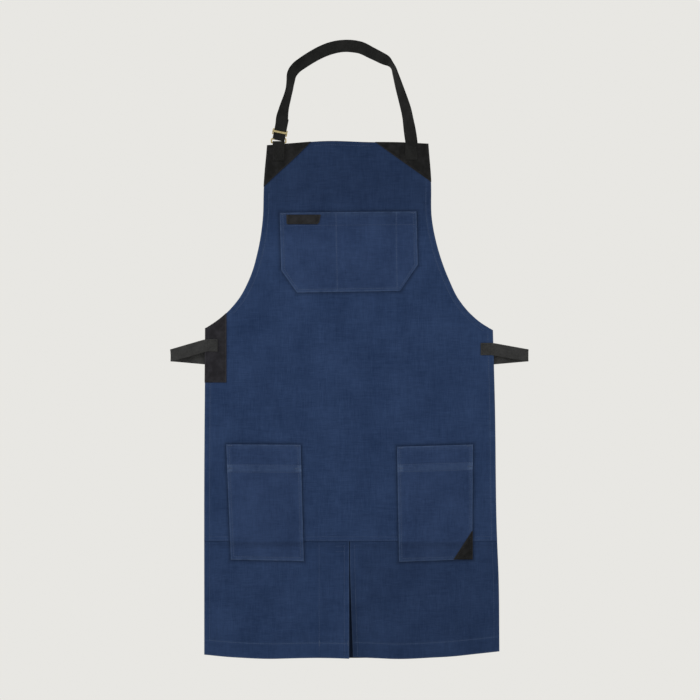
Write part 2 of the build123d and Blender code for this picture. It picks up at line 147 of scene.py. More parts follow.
def drape(x, z):
    """How far the hanging cloth lies behind the flat apron, before any layer's own place."""
    sides = 7.0 * ease(760, 1150, -z) * (np.abs(x) / 300) ** 2.4
    folds = 1.7 * np.sin((x + 20) / 34 + z / 700) + 0.8 * np.sin(x / 15 + 1.3 + z / 300)
    folds = folds * ease(820, 1250, -z)
    broad = 0.9 * np.sin(x / 62 + z / 210 + 0.6) * ease(220, 340, -z)
    chest = -2.0 * bell(z + 420, 130) * np.clip(1 - (x / 200) ** 2, 0, 1)
    ripple = np.sin(x / 13 + z / 31) * np.sin(z / 23 - x / 57) * ease(230, 300, -z)
    creases = bell(x + 17 + 3 * np.sin(z / 90), 3.5) + bell(x - 10 - 2 * np.sin(z / 70), 3.5)
    creases = -0.35 * creases * ease(495, 540, -z) * (1 - ease(930, 990, -z))
    calm = 1 - 0.8 * bell(z - WAIST_HEIGHT, 55) * ease(180, 250, np.abs(x))
    return sides + (folds + broad + chest + 0.35 * ripple) * calm + creases


# Meshes
RIM = (0.0, 0.25, 1.0)
RIM_FULLNESS = (0.0, 0.72, 1.0)
BESIDE_MARK = (-1.7, -0.8, 0.0, 0.8, 1.7)


def edge_places(edge, step, marks):
    """Places in from an edge: its rounding, and a finer spacing beside each sewn line."""
    close = sorted(mark + offset for mark in marks for offset in BESIDE_MARK)
    places = [edge * part for part in RIM]
    for target in close:
        while target - places[-1] > 1.4 * step:
            places.append(places[-1] + step)
        places.append(target)
    return np.array(places)


def make_object(name, points, faces, material):
    """A smooth mesh object from points in millimetres."""
    mesh = bpy.data.meshes.new(name)
    mesh.from_pydata((np.asarray(points, float) * MM).tolist(), [], faces)
    mesh.polygons.foreach_set("use_smooth", [True] * len(mesh.polygons))
    made = bpy.data.objects.new(name, mesh)
    bpy.context.scene.collection.objects.link(made)
    mesh.materials.append(material)
    return made


def set_values(piece, name, values):
    """Stores a number at each of a mesh's points, for its material to read."""
    layer = piece.data.attributes.new(name, "FLOAT", "POINT")
    layer.data.foreach_set("value", np.asarray(values, np.float32))


def grid_faces(rows, columns):
    """Quads of a grid of points whose numbers run along each row."""
    corner = (np.arange(rows - 1)[:, None] * columns + np.arange(columns - 1)[None, :]).ravel()
    return np.stack([corner, corner + 1, corner + columns + 1, corner + columns], 1)


# Painted shade and shadow: how much of its colour the cloth loses in each place
BIB_PAINTED_SHADE = 0.25
RIGHT_LEG_PAINTED_SHADE = 0.12
SEAM_SHADOW = 0.12
SLIT_SHADOW = 0.34
POCKET_SHADOW = 0.3


def painted_shade(x, z):
    """How much of its colour the cloth shows under painted shade: less high on the bib and on the
    right leg, where less light falls, and in painted shadows below the cross seam and beside the slit."""
    below = cross_seam - z
    right_leg = RIGHT_LEG_PAINTED_SHADE * ease(0, 40, x) * ease(0, 14, below)
    seam = SEAM_SHADOW * ease(-1, 2, below) * (1 - ease(6, 18, below)) + 0.03 * ease(0, 3, below)
    slit = SLIT_SHADOW * bell(x - slit_edge(1, z), 15) * (x > 0) * ease(20, 150, below)
    return 1 - BIB_PAINTED_SHADE * ease(-400, -290, z) - right_leg - seam - slit


def cloth(name, material, high, low, left, right, face, thickness, step=3.0, side_marks=(),
          top_marks=(), low_marks=(), kinks=(), top=None, bottom=None, wear=None):
    """A closed sheet between two edges, with rounded rims. face gives the place of its front,
    and top and bottom shift its upper and lower edges."""
    thickness_at = thickness if callable(thickness) else lambda x, z: thickness + 0 * x
    length = high - low
    rim = 0.45
    near = edge_places(rim, step, top_marks)
    far = length - edge_places(rim, step, low_marks)[::-1]
    inner = np.linspace(near[-1], far[0], max(3, int((far[0] - near[-1]) / step) + 1))[1:-1]
    kink_places = [high - kink for kink in kinks]
    inner = [place for place in inner if all(abs(place - kink) > 0.8 for kink in kink_places)]
    down = np.sort(np.concatenate([near, inner, far, kink_places]))
    row_fill = np.ones(len(down))
    row_fill[:3], row_fill[-3:] = RIM_FULLNESS, RIM_FULLNESS[::-1]
    z = (high - down)[:, None]
    x_left, x_right = left(z), right(z)
    width = np.maximum(x_right - x_left, 0.01)
    side = edge_places(rim, step, side_marks)
    count = max(3, int((float(width.max()) - 2 * side[-1]) / step) + 1)
    share = np.linspace(0, 1, count)[1:-1]
    squeeze = np.minimum(1, 0.45 * width / side[-1])
    x = np.concatenate([x_left + squeeze * side,
                        x_left + squeeze * side[-1] + share * (width - 2 * squeeze * side[-1]),
                        x_right - squeeze * side[::-1]], 1)
    z = z + 0 * x
    if top:
        z = z + top(x) * (1 - ease(0, 70, high - z))
    if bottom:
        z = z + bottom(x) * (1 - ease(0, 110, z - low))
    column_fill = np.ones(x.shape[1])
    column_fill[:3], column_fill[-3:] = RIM_FULLNESS, RIM_FULLNESS[::-1]
    fullness = np.minimum(row_fill[:, None], column_fill[None, :])
    thick = thickness_at(x, z)
    middle = face(x, z) + thick / 2
    rows, columns = x.shape
    front = np.stack([x, middle - thick / 2 * fullness, z], -1).reshape(-1, 3)
    back = np.stack([x, middle + thick / 2 * fullness, z], -1).reshape(-1, 3)
    inside = np.zeros((rows, columns), bool)
    inside[1:-1, 1:-1] = True
    inside = inside.ravel()
    number = np.arange(rows * columns)
    number[inside] = rows * columns + np.arange(inside.sum())
    faces = grid_faces(rows, columns)
    points = np.concatenate([front, back[inside]])
    piece = make_object(name, points, faces[:, ::-1].tolist() + number[faces].tolist(), material)
    set_values(piece, "wear", wear(points[:, 0], points[:, 2]) if wear else np.zeros(len(points)))
    # Painted shade: a colour factor at each point, darkening the cloth for painted shade and shadows.
    set_values(piece, "painted_shade", painted_shade(points[:, 0], points[:, 2]))
    return piece


def smooth_path(points, step=1.5):
    """Rows of numbers along a smooth curve through given rows; the first three are a place."""
    points = np.array(points, float)
    padded = np.concatenate([[2 * points[0] - points[1]], points, [2 * points[-1] - points[-2]]])
    rows = []
    for a, b, c, d in zip(padded[:-3], padded[1:-2], padded[2:-1], padded[3:]):
        gaps = [max(np.linalg.norm(q[:3] - p[:3]) ** 0.5, 1e-4) for p, q in ((a, b), (b, c), (c, d))]
        t0, t1, t2, t3 = np.cumsum([0, *gaps])
        count = max(2, int(np.linalg.norm(c[:3] - b[:3]) / step))
        for t in np.linspace(t1, t2, count, endpoint=False):
            ab = (t1 - t) / (t1 - t0) * a + (t - t0) / (t1 - t0) * b
            bc = (t2 - t) / (t2 - t1) * b + (t - t1) / (t2 - t1) * c
            cd = (t3 - t) / (t3 - t2) * c + (t - t2) / (t3 - t2) * d
            abc = (t2 - t) / (t2 - t0) * ab + (t - t0) / (t2 - t0) * bc
            bcd = (t3 - t) / (t3 - t1) * bc + (t - t1) / (t3 - t1) * cd
            rows.append((t2 - t) / (t2 - t1) * abc + (t - t1) / (t2 - t1) * bcd)
    return np.array([*rows, points[-1]])


def unit(vectors):
    """Rows scaled to a length of 1."""
    return vectors / np.linalg.norm(vectors, axis=1)[:, None]


def travelled(places):
    """Distance along a row of places, at each of them."""
    return np.concatenate([[0], np.cumsum(np.linalg.norm(np.diff(places, axis=0), axis=1))])


def ribbon(name, centre, across, material, width=WEBBING_WIDTH, thickness=WEBBING):
    """Flat webbing along a row of places, with a row of directions across it."""
    along = unit(np.gradient(centre, axis=0))
    across = unit(across - along * np.sum(along * across, 1)[:, None])
    out = np.cross(along, across)
    half, deep = width / 2, thickness / 2
    flat = np.linspace(-1, 1, 15) * (half - 0.9)
    rib = 0.09 * np.cos(np.arange(15) * math.pi)
    section = [(u, -deep + r) for u, r in zip(flat, rib)]
    section += [(half - 0.25, -0.6 * deep), (half, 0), (half - 0.25, 0.6 * deep)]
    section += [(u, deep - r) for u, r in zip(flat[::-1], rib)]
    section += [(-half + 0.25, 0.6 * deep), (-half, 0), (-half + 0.25, -0.6 * deep)]
    section = np.array(section)
    size = len(section)
    points = centre[:, None] + across[:, None] * section[:, :1] + out[:, None] * section[:, 1:]
    faces = []
    for row in range(len(centre) - 1):
        for i in range(size):
            j = (i + 1) % size
            faces.append((row * size + i, row * size + j, (row + 1) * size + j, (row + 1) * size + i))
    last = (len(centre) - 1) * size
    faces += [tuple(range(size))[::-1], tuple(range(last, last + size))]
    piece = make_object(name, points.reshape(-1, 3), faces, material)
    set_values(piece, "across", np.tile(section[:, 0], len(centre)) * MM)
    set_values(piece, "along", np.repeat(travelled(centre), size) * MM)
    return piece


# Thread
STITCH_LENGTH = 2.7
STITCH_PITCH = 3.7
STITCH_RADIUS = 0.36
STITCH_RING = ((1, 0), (0.5, 0.8), (-0.5, 0.8), (-1, 0), (-0.5, -0.8), (0.5, -0.8))


class Thread:
    """Stitches gathered into one mesh, each a short rounded length of thread."""

    def __init__(self):
        self.points, self.faces = [], []

    def stitch(self, start, end, out):
        """One stitch between two points, standing towards out."""
        along = end - start
        side = np.cross(along, out)
        side = side / np.linalg.norm(side) * STITCH_RADIUS
        lift = np.array(out) * STITCH_RADIUS
        first = len(self.points)
        self.points.append(start - lift)
        for place, size in ((0.14, 0.8), (0.5, 1.0), (0.86, 0.8)):
            centre = start + along * place
            self.points += [centre + (side * a + lift * b) * size for a, b in STITCH_RING]
        self.points.append(end - lift)
        for i in range(6):
            j = (i + 1) % 6
            self.faces.append((first, first + 1 + i, first + 1 + j))
            for row in (1, 7):
                low = first + row
                self.faces.append((low + j, low + i, low + 6 + i, low + 6 + j))
            self.faces.append((first + 13 + j, first + 13 + i, first + 19))

    def line(self, route, surface, facing=-1):
        """Stitches along a route of (x, z) points, on a face towards the front or the back."""
        route = np.array(route, float)
        place = travelled(route)
        count = max(1, int(place[-1] / STITCH_PITCH))
        start = np.arange(count) * (place[-1] - STITCH_LENGTH) / max(1, count - 1)
        ends = []
        for at in (start, start + STITCH_LENGTH):
            x, z = np.interp(at, place, route[:, 0]), np.interp(at, place, route[:, 1])
            ends.append(np.stack([x, surface(x, z) + facing * STITCH_RADIUS * 0.5, z], 1))
        for first, second in zip(*ends):
            self.stitch(first, second, (0, facing, 0))

    def bar(self, start, end, surface, half=1.3, facing=-1):
        """A bar tack: close stitches side by side from start to end."""
        start, end = np.array(start, float), np.array(end, float)
        along = (end - start) / np.linalg.norm(end - start)
        across = np.array([-along[1], along[0]]) * half
        for part in np.linspace(0, 1, int(np.linalg.norm(end - start) / 0.85)):
            middle = start + (end - start) * part
            pair = np.stack([middle - across, middle + across + along * 0.35])
            y = surface(pair[:, 0], pair[:, 1]) + facing * STITCH_RADIUS * 0.6
            self.stitch(*np.stack([pair[:, 0], y, pair[:, 1]], 1), (0, facing, 0))

    def make(self, name, material):
        """The gathered stitches as one object."""
        return make_object(name, np.array(self.points), self.faces, material)


def straight(*corners):
    """A route of straight runs with a point about every 6 mm."""
    route = []
    for start, end in zip(corners[:-1], corners[1:]):
        start, end = np.array(start, float), np.array(end, float)
        count = max(2, int(np.linalg.norm(end - start) / 6))
        route += [start + (end - start) * i / count for i in range(count)]
    return np.array([*route, np.array(corners[-1], float)])


def beside(edge, high, low, inward):
    """A route down an edge given by height, moved square to it by a distance."""
    z = np.linspace(high, low, max(3, int((high - low) / 5)))
    route = np.stack([edge(z), z], 1)
    along = unit(np.gradient(route, axis=0))
    return route + np.stack([-along[:, 1], along[:, 0]], 1) * inward


# Materials
class Nodes:
    """A material's node tree, with a method for each kind of texture."""

    def __init__(self, name, roughness, sheen=0.0, metallic=0.0, specular=0.5):
        self.material = bpy.data.materials.new(name)
        self.material.use_nodes = True
        self.tree = self.material.node_tree
        self.shader = self.tree.nodes["Principled BSDF"]
        for socket, value in (("Roughness", roughness), ("Metallic", metallic),
                              ("Specular IOR Level", specular), ("Sheen Weight", sheen)):
            self.shader.inputs[socket].default_value = value
        self.place = self.new("ShaderNodeTexCoord").outputs["Object"]

    def new(self, kind, inputs=None, **settings):
        """A node with its settings, and with its inputs linked or set."""
        node = self.tree.nodes.new(kind)
        for key, value in settings.items():
            setattr(node, key, value)
        for key, value in (inputs or {}).items():
            self.link(value, node.inputs[key])
        return node

    def link(self, output, socket):
        """Joins an output to an input, or sets the input to a number."""
        if hasattr(output, "is_output"):
            self.tree.links.new(output, socket)
        else:
            socket.default_value = output

    def scaled(self, x, y, z):
        """Texture places, stretched along each axis."""
        inputs = {"Vector": self.place, "Scale": (x, y, z)}
        return self.new("ShaderNodeMapping", inputs).outputs["Vector"]

    def noise(self, scale, detail=4.0, roughness=0.55, place=None):
        """Cloudy noise from about 0.3 to 0.7."""
        inputs = {"Vector": place or self.place, "Scale": scale, "Detail": detail, "Roughness": roughness}
        return self.new("ShaderNodeTexNoise", inputs).outputs["Fac"]

    def wave(self, direction, scale, distortion=0.0):
        """Even bands along an axis."""
        inputs = {"Vector": self.place, "Scale": scale, "Distortion": distortion}
        settings = {"wave_type": "BANDS", "bands_direction": direction}
        return self.new("ShaderNodeTexWave", inputs, **settings).outputs["Fac"]

    def cells(self, scale):
        """Distance from the nearest of many scattered points."""
        inputs = {"Vector": self.place, "Scale": scale}
        return self.new("ShaderNodeTexVoronoi", inputs, feature="F1").outputs["Distance"]

    def sum(self, *weighted):
        """The weighted sum of (output, weight) pairs."""
        total = 0.0
        for output, weight in weighted:
            inputs = {0: output, 1: weight, 2: total}
            total = self.new("ShaderNodeMath", inputs, operation="MULTIPLY_ADD").outputs[0]
        return total

    def product(self, first, second):
        """Two outputs multiplied."""
        return self.new("ShaderNodeMath", {0: first, 1: second}, operation="MULTIPLY").outputs[0]

    def ranged(self, value, low, high, to_low=0.0, to_high=1.0):
        """A value moved from one range to another."""
        inputs = {"Value": value, "From Min": low, "From Max": high, "To Min": to_low, "To Max": to_high}
        return self.new("ShaderNodeMapRange", inputs).outputs["Result"]

    def mix(self, share, first, second):
        """A colour between two colours."""
        inputs = {"Factor": share}
        for number, colour in ((6, first), (7, second)):
            inputs[number] = colour if hasattr(colour, "is_output") else (*colour, 1.0)
        return self.new("ShaderNodeMix", inputs, data_type="RGBA").outputs[2]

    def attribute(self, name):
        """A number that the mesh stores at its points."""
        return self.new("ShaderNodeAttribute", attribute_name=name).outputs["Fac"]

    def colour(self, output):
        """Links the base colour."""
        self.link(output, self.shader.inputs["Base Color"])

    def roughness(self, output):
        """Links the roughness."""
        self.link(output, self.shader.inputs["Roughness"])

    def bump(self, height, strength, distance):
        """Adds a bump, on top of any earlier one."""
        node = self.new("ShaderNodeBump", {"Strength": strength, "Distance": distance, "Height": height})
        socket = self.shader.inputs["Normal"]
        if socket.is_linked:
            self.link(socket.links[0].from_socket, node.inputs["Normal"])
        self.link(node.outputs["Normal"], socket)


def canvas_material(name, dark, pale, worn):
    """Matte woven cotton: crossed yarns with slubs, mottled colour, paler worn edges and painted shade."""
    m = Nodes(name, 0.9, sheen=0.03, specular=0.06)
    warp = m.noise(900, 2, 0.6, m.scaled(1, 1, 0.05))
    weft = m.noise(900, 2, 0.6, m.scaled(0.05, 1, 1))
    upright = m.noise(170, 2, 0.5, m.scaled(1, 1, 0.1))
    level = m.noise(170, 2, 0.5, m.scaled(0.1, 1, 1))
    slub = m.sum((upright, 0.5), (level, 0.5))
    mottle = m.noise(13, 6, 0.65)
    tone = m.sum((warp, 0.45), (weft, 0.45), (slub, 0.35), (mottle, 0.6))
    base = m.mix(m.ranged(tone, 0.72, 1.12), dark, pale)
    fray = m.product(m.attribute("wear"), m.ranged(m.noise(120, 3, 0.6), 0.35, 0.65, 0.35, 1.0))
    # Painted shade: the stored painted shade factor darkens the colour towards black.
    m.colour(m.mix(m.attribute("painted_shade"), (0, 0, 0), m.mix(fray, base, worn)))
    m.roughness(m.ranged(slub, 0.4, 0.6, 0.84, 0.95))
    m.bump(m.product(m.wave("X", 430), m.wave("Z", 430)), 0.3, 0.0003)
    m.bump(slub, 0.35, 0.0004)
    m.bump(m.noise(60, 3, 0.5), 0.12, 0.0012)
    return m.material


def leather_material(name, dark, pale, grain=900):
    """Matte black leather with fine pebbled grain and scuffs."""
    m = Nodes(name, 0.6, specular=0.1)
    scuff = m.noise(70, 5, 0.65)
    worn = m.sum((scuff, 0.8), (m.attribute("wear"), 0.3))
    m.colour(m.mix(m.ranged(worn, 0.33, 0.6), dark, pale))
    m.roughness(m.ranged(scuff, 0.3, 0.7, 0.55, 0.78))
    m.bump(m.cells(grain), 0.4, 0.0003)
    m.bump(m.noise(220, 3, 0.5), 0.15, 0.0005)
    return m.material


def webbing_material(name, dark, pale):
    """Flat woven tape: ribs along it, a fine chevron across them and a matte fuzz."""
    m = Nodes(name, 0.88, sheen=0.04, specular=0.1)
    on_tape = {"X": m.attribute("across"), "Y": m.attribute("along")}
    m.place = m.new("ShaderNodeCombineXYZ", on_tape).outputs[0]
    ribs = m.wave("X", 180)
    picks = m.wave("DIAGONAL", 260, 0.5)
    fuzz = m.noise(300, 3, 0.6)
    tone = m.sum((ribs, 0.12), (fuzz, 0.5), (m.noise(40, 4, 0.6), 0.6))
    m.colour(m.mix(m.ranged(tone, 0.45, 0.75), dark, pale))
    m.roughness(m.ranged(fuzz, 0.3, 0.7, 0.82, 0.95))
    m.bump(ribs, 0.4, 0.0003)
    m.bump(picks, 0.5, 0.0002)
    return m.material


def thread_material(name, dark, pale):
    """Twisted sewing thread."""
    m = Nodes(name, 0.75, specular=0.3)
    m.colour(m.mix(m.noise(700, 3, 0.6), dark, pale))
    m.bump(m.wave("DIAGONAL", 900), 0.4, 0.0001)
    return m.material


def brass_material(name):
    """Brass with patches of dull tarnish among polished ones."""
    m = Nodes(name, 0.3, metallic=1.0)
    tarnish = m.noise(260, 4, 0.6)
    m.colour(m.mix(m.ranged(tarnish, 0.4, 0.7), (0.56, 0.47, 0.25), (0.34, 0.27, 0.12)))
    m.roughness(m.ranged(tarnish, 0.3, 0.7, 0.2, 0.42))
    m.bump(m.noise(900, 3, 0.5), 0.08, 0.0002)
    return m.material


def plastic_material(name):
    """Black acetal with a fine moulded texture."""
    m = Nodes(name, 0.45, specular=0.4)
    grain = m.noise(2200, 2, 0.6)
    m.colour(m.mix(m.noise(90, 3, 0.5), (0.009, 0.009, 0.010), (0.019, 0.019, 0.020)))
    m.roughness(m.ranged(grain, 0.3, 0.7, 0.38, 0.55))
    m.bump(grain, 0.2, 0.0001)
    return m.material


canvas = canvas_material("canvas", (0.0118, 0.0262, 0.0710), (0.0260, 0.0492, 0.1190), (0.055, 0.090, 0.175))
pocket_canvas = canvas_material("pocket_canvas", (0.0136, 0.0280, 0.0745), (0.0285, 0.0520, 0.1240),
                                (0.065, 0.102, 0.190))
# The spark guard's canvas: a darker copy of the navy canvas, painting the deep shade in the slit's gap.
shaded_guard_canvas = canvas_material("shaded_guard_canvas", (0.0050, 0.0100, 0.0260), (0.0100, 0.0190, 0.0460),
                               (0.020, 0.035, 0.080))
waist_patch_leather = leather_material("waist_patch_leather", (0.0110, 0.0105, 0.0135),
                                       (0.0270, 0.0262, 0.0320))
leather = leather_material("black_leather", (0.0045, 0.0046, 0.0046), (0.0165, 0.0165, 0.0172))
label_leather = leather_material("label_leather", (0.0100, 0.0100, 0.0110), (0.0240, 0.0240, 0.0262), 1400)
webbing = webbing_material("webbing", (0.0205, 0.0208, 0.0210), (0.0430, 0.0435, 0.0440))
neck_webbing = webbing_material("neck_webbing", (0.0055, 0.0057, 0.0056), (0.0150, 0.0153, 0.0150))
blue_thread = thread_material("blue_thread", (0.040, 0.067, 0.140), (0.066, 0.102, 0.195))
black_thread = thread_material("black_thread", (0.008, 0.008, 0.009), (0.020, 0.020, 0.022))
brass = brass_material("brass")
plastic = plastic_material("black_plastic")


# Places of the sewn lines, as distances in from an edge
SIDE_HEM = 11.0
TOP_HEM = 8.0
HEM_STITCH = 31.0
SEAM_LAP = 9.0
SLIT_STITCH = 10.0
SLIT_FACING = 62.0
POCKET_STITCH = 6.0


def inside_side(x, z):
    """Distance in from the nearer side edge, measured level."""
    return np.minimum(x - left_edge(z), right_edge(z) - x)


def sewn(distance, length, depth=0.3, width=1.5):
    """The small ridge and puckers beside a row of stitches, at a distance from it."""
    pucker = np.sin(length / 2.3 + 2 * np.sin(length / 17))
    return depth * bell(distance, width) + 0.2 * pucker * bell(distance, 7)


def rolled(distance, stitches, depth):
    """How far a folded edge stands forward, from the edge to its row of stitches."""
    return -depth * (1 - ease(stitches - 3, stitches, distance))


def panel_face(x, z):
    """The front panel's front, with its stitched hems and the lap of the cross seam."""
    inside = inside_side(x, z)
    down = bib_top + top_edge(x) - z
    above = z - cross_seam
    rolls = rolled(inside, SIDE_HEM, 0.35) + rolled(down, TOP_HEM, 0.3)
    lap = -0.9 * (1 - ease(SEAM_LAP - 3, SEAM_LAP + 1, above))
    rows = sewn(inside - SIDE_HEM, z) + sewn(down - TOP_HEM, x) + sewn(above - SEAM_LAP, x)
    return drape(x, z) + FRONT + rolls + lap + rows


FOLD_EXTRA = 0.7  # how much a hem's fold adds to the cloth's thickness


def past_side_hem(x, z):
    """0 on the folded side hem and 1 farther in."""
    return ease(SIDE_HEM + 1, SIDE_HEM + 4, inside_side(x, z))


def panel_thickness(x, z):
    """The front panel's thickness, greater where its skirt edges are folded behind."""
    return CANVAS + FOLD_EXTRA * (1 - past_side_hem(x, z)) * ease(575, 590, -z)


def panel_wear(x, z):
    """Paler cloth along the front panel's edges."""
    inside = inside_side(x, z)
    return 0.45 * bell(inside, 1.8) + 0.2 * bell(inside - SIDE_HEM, 2.0) + 0.1 * bell(z - cross_seam, 1.4)


def slit_edge(side, z):
    """The slit's edge: straight on the left, falling open towards the hem on the right."""
    if side < 0:
        return -0.6 + 0 * z
    return 0.8 + 7.6 * ease(20, 330, cross_seam - z)


def hem_shift(side):
    """The hem's unevenness on one side."""
    return left_hem if side < 0 else right_hem


def leg_face(side, x, z):
    """A leg panel's front, tucked behind the cross seam, with its hem and slit edge."""
    up = z - hem - hem_shift(side)(x)
    inside = inside_side(x, z)
    from_slit = side * (x - slit_edge(side, z))
    tuck = 0.75 * (1 - ease(0, 7, cross_seam - z))
    rolls = -0.35 * (1 - ease(HEM_STITCH - 4, HEM_STITCH + 1, up)) + rolled(inside, SIDE_HEM, 0.3)
    rows = sewn(up - HEM_STITCH, x, 0.35) + sewn(inside - SIDE_HEM, z)
    rows = rows + sewn(from_slit - SLIT_STITCH, z, 0.25) + 0.2 * bell(from_slit - SLIT_FACING, 1.6)
    opened = ease(20, 240, cross_seam - z)
    flare = -1.8 * opened * bell(from_slit, 34) if side < 0 else 2.6 * opened * bell(from_slit, 13)
    return drape(x, z) + FRONT + tuck + rolls + rows + flare


def leg_thickness(side):
    """A leg panel's thickness, greater along its folded hem and outer edge."""
    def thickness(x, z):
        up = z - hem - hem_shift(side)(x)
        single = ease(HEM_STITCH + 1, HEM_STITCH + 4, up) * past_side_hem(x, z)
        return CANVAS + FOLD_EXTRA * (1 - single)
    return thickness


def leg_blend(piece):
    """Bakes a piece's place in the scene into its mesh."""
    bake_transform(piece)


def behind_panel(x, z):
    """Front of a layer sewn flat behind the front panel."""
    return panel_face(x, z) + panel_thickness(x, z) + LAYER_GAP


def level_share(edge, z):
    """Level length of a strip's width where its edge slants, for each unit of width."""
    return np.sqrt(1 + ((edge(z + 2) - edge(z - 2)) / 4) ** 2)


def stands_for(piece, body, slot, *nodes):
    """Puts a piece on a body in place of its CAD nodes."""
    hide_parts(*nodes)
    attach(piece, body)


# Front panel, with its facings behind
panel = cloth("apron_front", canvas, bib_top, cross_seam, left_edge, right_edge, panel_face,
              panel_thickness, step=3.5, side_marks=(SIDE_HEM,), top_marks=(TOP_HEM,),
              low_marks=(SEAM_LAP,), kinks=(LEFT_CORNER, RIGHT_CORNER), top=top_edge, wear=panel_wear)
stands_for(panel, "apron", "canvas", "front_panel")

FACING_WIDTH = 20.0
FACING_TOP = -232.0
top_facing = cloth("bib_top_facing_cloth", canvas, bib_top - 0.5, bib_top - 46,
                   lambda z: left_armhole(z) + 1, lambda z: right_armhole(z) - 1, behind_panel,
                   FACING, top=top_edge, top_marks=(TOP_HEM,))
stands_for(top_facing, "apron", "canvas", "bib_top_facing")
for side_name, side, armhole, corner in (("left", -1, left_armhole, LEFT_CORNER),
                                         ("right", 1, right_armhole, RIGHT_CORNER)):
    edges = (lambda z: armhole(z) - side,
             lambda z: armhole(z) - side * FACING_WIDTH * level_share(armhole, z))[::-side]
    piece = cloth(f"armhole_facing_{side_name}_cloth", canvas, FACING_TOP, corner + 1, *edges,
                  behind_panel, FACING)
    stands_for(piece, "apron", "canvas", f"armhole_facing_{side_name}")

# Leg panels with the facings of the slit, and the spark guard behind the slit
leg_pieces = []
for side_name, side in (("left", -1), ("right", 1)):
    def leg_wear(x, z, side=side):
        up = z - hem - hem_shift(side)(x)
        from_slit = side * (x - slit_edge(side, z))
        edges = 0.5 * bell(up, 1.8) + 0.4 * bell(from_slit, 1.6) + 0.4 * bell(inside_side(x, z), 1.8)
        return edges + 0.25 * bell(up - HEM_STITCH, 2)

    def face(x, z, side=side):
        return leg_face(side, x, z)

    thickness = leg_thickness(side)

    def behind_leg(x, z, face=face, thickness=thickness):
        return face(x, z) + thickness(x, z) + LAYER_GAP

    def at_slit(inset, side=side):
        return lambda z: slit_edge(side, z) + side * inset

    edges = (left_edge, at_slit(0)) if side < 0 else (at_slit(0), right_edge)
    leg = cloth(f"{side_name}_leg_cloth", canvas, cross_seam + 8, hem, *edges, face, thickness,
                side_marks=(SLIT_STITCH,), low_marks=(HEM_STITCH,), bottom=hem_shift(side), wear=leg_wear)
    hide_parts(f"{side_name}_leg_panel_top", f"{side_name}_leg_panel")
    leg_pieces.append(leg)
    edges = (at_slit(SLIT_FACING + 3), at_slit(1))[::1 if side < 0 else -1]
    facing = cloth(f"{side_name}_slit_facing_cloth", canvas, cross_seam - 6, hem + 5, *edges,
                   behind_leg, FACING)
    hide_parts(f"{side_name}_slit_facing")
    for piece in (leg, facing):
        leg_blend(piece)


def guard_face(x, z):
    """The spark guard's front, clear of both leg panels behind the slit."""
    return drape(x, z) + 2.2 + 2.8 * ease(20, 200, cross_seam - z)


# The guard's darker canvas is painted shade for the shadow behind the slit.
guard = cloth("slit_guard_cloth", shaded_guard_canvas, cross_seam + 12, hem + 1, lambda z: -40 + 0 * z,
              lambda z: 44 + 0 * z, guard_face, CANVAS, side_marks=(6,), low_marks=(8,))
stands_for(guard, "apron", "canvas", "slit_guard")


# Pockets
class Pocket:
    """A patch pocket: its edges by height, its top and bottom shifts and how it stands off."""

    def __init__(self, name, high, low, left, right, top, bottom, seams, fullness, band):
        self.name, self.high, self.low, self.left, self.right = name, high, low, left, right
        self.top, self.bottom, self.seams, self.fullness, self.band = top, bottom, seams, fullness, band

    def edges(self, x, z):
        """Distances down from the top edge, up from the bottom and in from the sides."""
        down = self.high + self.top(x) - z
        up = z - self.low - self.bottom(x)
        return down, up, np.minimum(x - self.left(z), self.right(z) - x)

    def base(self, x, z):
        """Front of the cloth that the pocket is sewn to, with the cross seam showing through."""
        below = cross_seam - z
        lap = -0.7 * (1 - ease(-1, 11, below)) + 0.5 * ease(0, 3, below) * (1 - ease(6, 34, below))
        return drape(x, z) + FRONT + lap * (self.low < cross_seam)

    def face(self, x, z):
        """The pocket's front."""
        down, up, inside = self.edges(x, z)
        full = ease(3, 34, inside) * ease(3, 60, up)
        for seam in self.seams:
            full = full * ease(1, 26, np.abs(x - seam(z)))
        full = full * (0.62 + 0.38 * ease(0, 90, down))
        rows = sewn(np.minimum(inside, up) - POCKET_STITCH, x + z, 0.25)
        band_low, band_high = self.band
        fold = -0.35 * (1 - ease(band_high - 1, band_high + 2.5, down))
        rows = rows + 0.35 * bell(down - band_low, 1.5) + 0.3 * bell(down - band_high, 1.5)
        for seam in self.seams:
            rows = rows + sewn(x - seam(z), z, 0.3)
        wrinkle = 0.5 * np.sin(x / 19 + z / 37 + self.high) * np.sin(z / 29 - x / 41) * full
        return self.base(x, z) - CANVAS - 0.15 - self.fullness * full + fold + rows - wrinkle

    def wear(self, x, z):
        """Paler cloth along the pocket's edges and between its band's stitches."""
        down, up, inside = self.edges(x, z)
        rim = np.minimum(np.minimum(inside, up), down)
        low, high = self.band
        band = ease(low - 1, low + 2, down) * (1 - ease(high - 2, high + 1, down)) * (high - low > 5)
        tacks = 0.4 * band * (1 - ease(10, 12, inside))
        seams = sum(0.3 * bell(x - seam(z), 1.5) for seam in self.seams)
        rows = 0.42 * bell(rim, 2.0) + 0.14 * (1 - ease(6, 11, rim))
        return np.clip(rows + 0.24 * band + tacks + seams, 0, 1)


def make_pocket(pocket, kinks=()):
    """A pocket's cloth."""
    piece = cloth(f"{pocket.name}_cloth", pocket_canvas, pocket.high, pocket.low, pocket.left,
                  pocket.right, pocket.face, CANVAS, step=2.6, side_marks=(POCKET_STITCH,),
                  top_marks=pocket.band, low_marks=(POCKET_STITCH,), kinks=kinks, top=pocket.top,
                  bottom=pocket.bottom, wear=pocket.wear)
    stands_for(piece, "apron", "pocket_canvas", pocket.name)
    return piece


